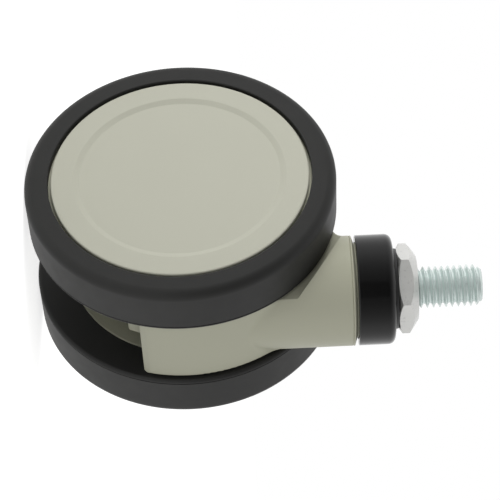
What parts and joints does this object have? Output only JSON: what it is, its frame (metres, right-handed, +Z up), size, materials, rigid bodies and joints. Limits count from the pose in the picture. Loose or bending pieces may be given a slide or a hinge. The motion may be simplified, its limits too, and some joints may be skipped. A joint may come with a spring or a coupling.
{
  "type": "twin-wheel stem castor",
  "caption": "Twin-wheel swivel castor: hooded moulded housing between two capped wheels, ball-bearing swivel, black collar and threaded stem with a lock nut.",
  "frame": {"origin": "on the swivel axis, at the top face of the lock nut where the free thread starts", "axes": "+Z up along the stem, the wheel axle along Y, the wheels trail towards -X"},
  "size_m": [0.075, 0.0454, 0.1088],
  "materials": {
    "housing_grey": "moulded nylon, fine satin",
    "cap_grey": "moulded nylon, fine satin",
    "tyre_black": "smooth soft tread, satin",
    "collar_black": "gloss",
    "washer_black": "satin",
    "nut_plated": "bright plated",
    "stem_zinc": "clear zinc plated",
    "bearing_steel": "ground",
    "cage_nylon": "moulded",
    "bush_polymer": "moulded",
    "clip_steel": "spring steel, oiled",
    "axle_steel": "ground"
  },
  "bodies": {
    "stem": {"threaded_stem": "stem_zinc", "collar": "collar_black", "swivel_inner_ring": "bearing_steel", "stem_clip": "clip_steel"},
    "washer": {"stem_washer": "washer_black"},
    "nut": {"lock_nut": "nut_plated"},
    "swivel_cage": {"swivel_cage": "cage_nylon", "swivel_balls": "bearing_steel"},
    "swivel": {"housing": "housing_grey", "neck_ring": "housing_grey", "swivel_outer_ring": "bearing_steel", "lower_bush": "bush_polymer", "axle": "axle_steel", "axle_spacer_left": "axle_steel", "axle_spacer_right": "axle_steel", "axle_clip_left": "clip_steel", "axle_clip_right": "clip_steel", "wheel_bearing_left_inner_ring": "bearing_steel", "wheel_bearing_right_inner_ring": "bearing_steel"},
    "wheel_left": {"tyre_left": "tyre_black", "wheel_centre_left": "housing_grey", "wheel_cap_left": "cap_grey", "wheel_bearing_left_outer_ring": "bearing_steel"},
    "wheel_right": {"tyre_right": "tyre_black", "wheel_centre_right": "housing_grey", "wheel_cap_right": "cap_grey", "wheel_bearing_right_outer_ring": "bearing_steel"},
    "wheel_cage_left": {"wheel_bearing_left_cage": "cage_nylon", "wheel_bearing_left_balls": "bearing_steel"},
    "wheel_cage_right": {"wheel_bearing_right_cage": "cage_nylon", "wheel_bearing_right_balls": "bearing_steel"}
  },
  "joints": [
    {"name": "swivel", "type": "hinge", "parent": "stem", "child": "swivel", "pos_m": [0, 0, -0.012], "axis": [0, 0, 1], "continuous": true},
    {"name": "swivel_cage_turn", "type": "hinge", "parent": "stem", "child": "swivel_cage", "pos_m": [0, 0, -0.012], "axis": [0, 0, 1], "continuous": true},
    {"name": "wheel_left_spin", "type": "hinge", "parent": "swivel", "child": "wheel_left", "pos_m": [-0.0198, 0.0155, -0.0557], "axis": [0, 1, 0], "continuous": true},
    {"name": "wheel_right_spin", "type": "hinge", "parent": "swivel", "child": "wheel_right", "pos_m": [-0.0198, -0.0155, -0.0557], "axis": [0, 1, 0], "continuous": true},
    {"name": "wheel_cage_left_turn", "type": "hinge", "parent": "swivel", "child": "wheel_cage_left", "pos_m": [-0.0198, 0.0155, -0.0557], "axis": [0, 1, 0], "continuous": true},
    {"name": "wheel_cage_right_turn", "type": "hinge", "parent": "swivel", "child": "wheel_cage_right", "pos_m": [-0.0198, -0.0155, -0.0557], "axis": [0, 1, 0], "continuous": true},
    {"name": "nut_rise", "type": "slide", "parent": "stem", "child": "washer", "axis": [0, 0, 1], "range_m": [0, 0.009]},
    {"name": "nut_turn", "type": "hinge", "parent": "washer", "child": "nut", "pos_m": [0, 0, -0.0024], "axis": [0, 0, 1], "range_deg": [0, 2160]}
  ],
  "couplings": [
    {"joint": "swivel_cage_turn", "follows": "swivel", "ratio": 0.58819},
    {"joint": "wheel_cage_left_turn", "follows": "wheel_left_spin", "ratio": 0.63272},
    {"joint": "wheel_cage_right_turn", "follows": "wheel_right_spin", "ratio": 0.63272},
    {"joint": "nut_rise", "follows": "nut_turn", "m_per_rad": 0.00023873}
  ]
}
